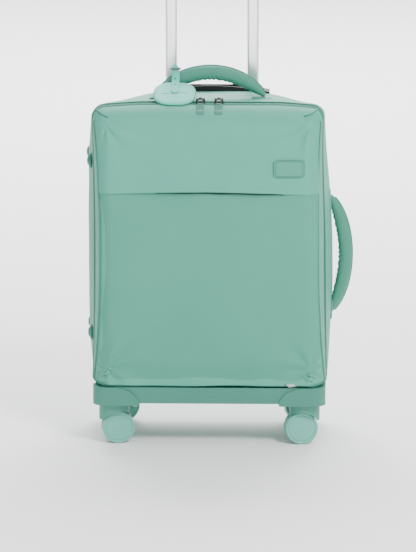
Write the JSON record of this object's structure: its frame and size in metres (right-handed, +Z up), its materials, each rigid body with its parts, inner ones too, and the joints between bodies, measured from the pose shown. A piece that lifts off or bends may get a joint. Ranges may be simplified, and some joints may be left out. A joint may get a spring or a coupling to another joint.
{
  "type": "softside upright suitcase",
  "caption": "Softside upright spinner suitcase with zip lid, front slip pocket, padded carry handles, telescoping pull handle and luggage tag.",
  "frame": {"origin": "on the floor under the middle of the case body", "axes": "+Z up, +X to the right of someone facing the lid, +Y from the lid towards the back"},
  "size_m": [0.3907, 0.2125, 1.0311],
  "materials": {
    "shell_fabric": "satin coated nylon",
    "pocket_fabric": "satin coated nylon",
    "trim_plastic": "satin moulded",
    "wheel_plastic": "satin moulded tread",
    "leather": "smooth, painted edge",
    "tube_alloy": "anodised, brushed lengthwise",
    "dark_plastic": "satin moulded",
    "dark_metal": "dark plated",
    "steel": "zinc plated",
    "board": "plain board",
    "coil": "coil filament"
  },
  "bodies": {
    "case": {"body_shell": "shell_fabric", "base_pan": "trim_plastic", "floor_board": "board", "back_board": "board", "hinge_gusset": "shell_fabric", "body_wire_frame": "steel", "zip_tape_body": "coil", "zip_coil_body": "coil", "corner_guard_front_left": "trim_plastic", "corner_guard_front_right": "trim_plastic", "corner_guard_rear_left": "trim_plastic", "corner_guard_rear_right": "trim_plastic", "guard_screws": "steel", "caster_kingpins": "steel", "swivel_washers": "steel", "sleeve_left": "tube_alloy", "sleeve_right": "tube_alloy", "sleeve_foot": "dark_plastic", "handle_cup": "dark_plastic", "top_handle_anchors": "trim_plastic", "side_handle_anchors": "trim_plastic", "side_feet": "trim_plastic"},
    "lid": {"lid_shell": "shell_fabric", "front_pocket": "pocket_fabric", "badge_plate": "trim_plastic", "lid_wire_frame": "steel", "zip_tape_lid": "coil", "zip_coil_lid": "coil"},
    "slider_left": {"zip_slider_left": "dark_metal"},
    "slider_right": {"zip_slider_right": "dark_metal"},
    "pull_left": {"zip_pull_left": "trim_plastic"},
    "pull_right": {"zip_pull_right": "trim_plastic"},
    "middle_stage": {"middle_tube_left": "tube_alloy", "middle_tube_right": "tube_alloy", "middle_collars": "dark_plastic", "middle_guides": "dark_plastic"},
    "upper_stage": {"upper_tube_left": "tube_alloy", "upper_tube_right": "tube_alloy", "upper_guides": "dark_plastic", "grip_lower": "dark_plastic", "grip_upper": "dark_plastic"},
    "button": {"release_button": "dark_plastic", "release_rods": "steel"},
    "top_handle": {"top_handle": "shell_fabric"},
    "side_handle": {"side_handle": "shell_fabric"},
    "tag": {"tag_card": "leather", "tag_strap": "leather", "tag_buckle": "dark_metal"},
    "fork_front_left": {"fork_front_left": "trim_plastic", "axle_front_left": "steel"},
    "wheels_front_left": {"wheels_front_left": "wheel_plastic"},
    "fork_front_right": {"fork_front_right": "trim_plastic", "axle_front_right": "steel"},
    "wheels_front_right": {"wheels_front_right": "wheel_plastic"},
    "fork_rear_left": {"fork_rear_left": "trim_plastic", "axle_rear_left": "steel"},
    "wheels_rear_left": {"wheels_rear_left": "wheel_plastic"},
    "fork_rear_right": {"fork_rear_right": "trim_plastic", "axle_rear_right": "steel"},
    "wheels_rear_right": {"wheels_rear_right": "wheel_plastic"}
  },
  "joints": [
    {"name": "lid_hinge", "type": "hinge", "parent": "case", "child": "lid", "pos_m": [0, -0.1095, 0.0883], "axis": [1, 0, 0], "range_deg": [0, 100]},
    {"name": "slider_left_slide", "type": "slide", "parent": "lid", "child": "slider_left", "axis": [1, 0, 0], "range_m": [-0.004, 0.012]},
    {"name": "slider_right_slide", "type": "slide", "parent": "lid", "child": "slider_right", "axis": [1, 0, 0], "range_m": [0, 0.115]},
    {"name": "pull_left_hinge", "type": "hinge", "parent": "slider_left", "child": "pull_left", "pos_m": [-0.0135, -0.0615, 0.5126], "axis": [-1, 0, 0], "range_deg": [0, 150]},
    {"name": "pull_right_hinge", "type": "hinge", "parent": "slider_right", "child": "pull_right", "pos_m": [0.0135, -0.0615, 0.5126], "axis": [-1, 0, 0], "range_deg": [0, 150]},
    {"name": "lower_handle_slide", "type": "slide", "parent": "case", "child": "middle_stage", "axis": [0, 0, 1], "range_m": [-0.255, 0]},
    {"name": "upper_handle_slide", "type": "slide", "parent": "middle_stage", "child": "upper_stage", "axis": [0, 0, 1], "range_m": [-0.255, 0]},
    {"name": "button_press", "type": "slide", "parent": "upper_stage", "child": "button", "axis": [0, 0, -1], "range_m": [0, 0.0025], "stiffness_N_per_m": 800, "springref_m": -0.002},
    {"name": "top_handle_tilt", "type": "hinge", "parent": "case", "child": "top_handle", "pos_m": [0, 0.008, 0.51086], "axis": [1, 0, 0], "range_deg": [-12, 12], "stiffness_Nm_per_rad": 1},
    {"name": "side_handle_tilt", "type": "hinge", "parent": "case", "child": "side_handle", "pos_m": [0.18083, 0.02, 0.268], "axis": [0, 0, 1], "range_deg": [-15, 15], "stiffness_Nm_per_rad": 1},
    {"name": "tag_swing", "type": "hinge", "parent": "case", "child": "tag", "pos_m": [-0.052, 0.008, 0.52726], "axis": [-1, 0, 0], "range_deg": [0, 100]},
    {"name": "swivel_front_left", "type": "hinge", "parent": "case", "child": "fork_front_left", "pos_m": [-0.141, -0.073, 0.055], "axis": [0, 0, 1], "continuous": true},
    {"name": "spin_front_left", "type": "hinge", "parent": "fork_front_left", "child": "wheels_front_left", "pos_m": [-0.13555, -0.07223, 0.024], "axis": [-0.1392, 0.9903, 0], "continuous": true},
    {"name": "swivel_front_right", "type": "hinge", "parent": "case", "child": "fork_front_right", "pos_m": [0.141, -0.073, 0.055], "axis": [0, 0, 1], "continuous": true},
    {"name": "spin_front_right", "type": "hinge", "parent": "fork_front_right", "child": "wheels_front_right", "pos_m": [0.13555, -0.07377, 0.024], "axis": [0.1392, -0.9903, 0], "continuous": true},
    {"name": "swivel_rear_left", "type": "hinge", "parent": "case", "child": "fork_rear_left", "pos_m": [-0.141, 0.073, 0.055], "axis": [0, 0, 1], "continuous": true},
    {"name": "spin_rear_left", "type": "hinge", "parent": "fork_rear_left", "child": "wheels_rear_left", "pos_m": [-0.13583, 0.07488, 0.024], "axis": [-0.342, 0.9397, 0], "continuous": true},
    {"name": "swivel_rear_right", "type": "hinge", "parent": "case", "child": "fork_rear_right", "pos_m": [0.141, 0.073, 0.055], "axis": [0, 0, 1], "continuous": true},
    {"name": "spin_rear_right", "type": "hinge", "parent": "fork_rear_right", "child": "wheels_rear_right", "pos_m": [0.13602, 0.07068, 0.024], "axis": [0.4226, -0.9063, 0], "continuous": true}
  ]
}
